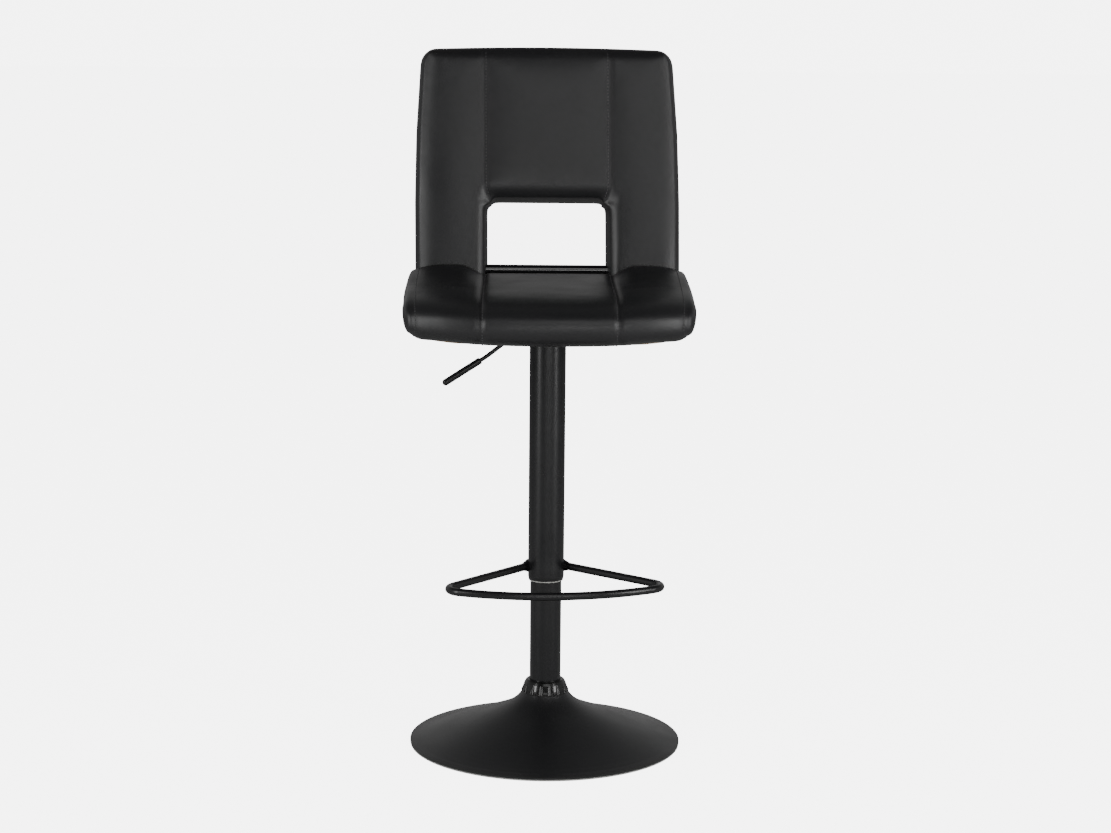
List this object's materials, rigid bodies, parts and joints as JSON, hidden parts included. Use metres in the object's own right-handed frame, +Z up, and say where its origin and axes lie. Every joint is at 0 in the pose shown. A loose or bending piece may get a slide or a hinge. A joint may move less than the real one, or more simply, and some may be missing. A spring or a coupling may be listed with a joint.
{
  "type": "bar stool",
  "caption": "Swivelling gas-lift bar stool with a trumpet base, a wire footrest on a sliding sleeve, a height lever and a padded seat and windowed back.",
  "frame": {"origin": "on the floor, at the axis of the column", "axes": "+Z up along the column, the seat faces -Y, +X to the right when looking at the seat's front (along +Y)"},
  "size_m": [0.415, 0.4579, 1.0161],
  "materials": {
    "powder_coat": "matt black powder coat, very fine texture",
    "satin_paint": "satin black powder coat",
    "gloss_paint": "gloss black",
    "gloss_plastic": "gloss black moulded plastic",
    "black_plastic": "black moulded plastic",
    "floor_plastic": "translucent grey plastic",
    "guide_plastic": "natural acetal",
    "raw_steel": "plain mild steel",
    "bearing_steel": "ground steel",
    "black_rubber": "black rubber",
    "plywood": "birch plywood",
    "black_leather": "smooth black artificial leather, semi-gloss, fine grain",
    "lining_fabric": "black non-woven lining"
  },
  "bodies": {
    "base": {"base_shell": "powder_coat", "floor_ring": "floor_plastic", "counterweight": "raw_steel", "hub_socket": "raw_steel", "collar": "gloss_plastic", "column_tube": "satin_paint", "column_bush": "guide_plastic", "column_end_plate": "raw_steel", "bearing_lower_race": "bearing_steel", "bearing_balls": "bearing_steel"},
    "rod": {"bearing_upper_race": "bearing_steel", "bumper": "black_rubber", "piston_rod": "bearing_steel", "piston_head": "raw_steel", "retaining_clip": "bearing_steel"},
    "seat": {"gas_cylinder": "satin_paint", "cylinder_seal": "black_rubber", "seat_plate": "powder_coat", "cone_socket": "powder_coat", "lever_pivot": "bearing_steel", "plate_bolts": "bearing_steel", "tee_nuts": "bearing_steel", "seat_board": "plywood", "side_tube_left": "satin_paint", "side_tube_right": "satin_paint", "rear_cross_tube": "gloss_paint", "top_cross_tube": "satin_paint", "frame_screws": "bearing_steel", "back_board": "plywood", "seat_cushion": "black_leather", "back_pad": "black_leather", "rear_cover": "black_leather", "dust_cover": "lining_fabric", "dust_cover_staples": "bearing_steel"},
    "footrest": {"sleeve_tube": "satin_paint", "sleeve_cap": "black_plastic", "sleeve_guide_ring": "guide_plastic", "footrest_ring": "satin_paint", "weld_beads": "satin_paint"},
    "lever": {"lever_rod": "satin_paint", "lever_grip": "gloss_plastic"},
    "button": {"valve_button": "bearing_steel"}
  },
  "joints": [
    {"name": "seat_swivel", "type": "hinge", "parent": "base", "child": "rod", "pos_m": [0, 0, 0.02], "axis": [0, 0, 1], "continuous": true},
    {"name": "height_slide", "type": "slide", "parent": "rod", "child": "seat", "axis": [0, 0, 1], "range_m": [-0.07, 0.14]},
    {"name": "footrest_turn", "type": "hinge", "parent": "seat", "child": "footrest", "pos_m": [0, 0, 0.5], "axis": [0, 0, 1], "continuous": true},
    {"name": "lever_press", "type": "hinge", "parent": "seat", "child": "lever", "pos_m": [-0.028, 0, 0.614], "axis": [0, 1, 0], "range_deg": [0, 7], "stiffness_Nm_per_rad": 2, "springref_deg": -6.88},
    {"name": "valve_press", "type": "slide", "parent": "seat", "child": "button", "axis": [0, 0, -1], "range_m": [0, 0.0035], "stiffness_N_per_m": 10, "springref_m": -0.028}
  ],
  "couplings": [
    {"joint": "valve_press", "follows": "lever_press", "m_per_rad": 0.028}
  ]
}
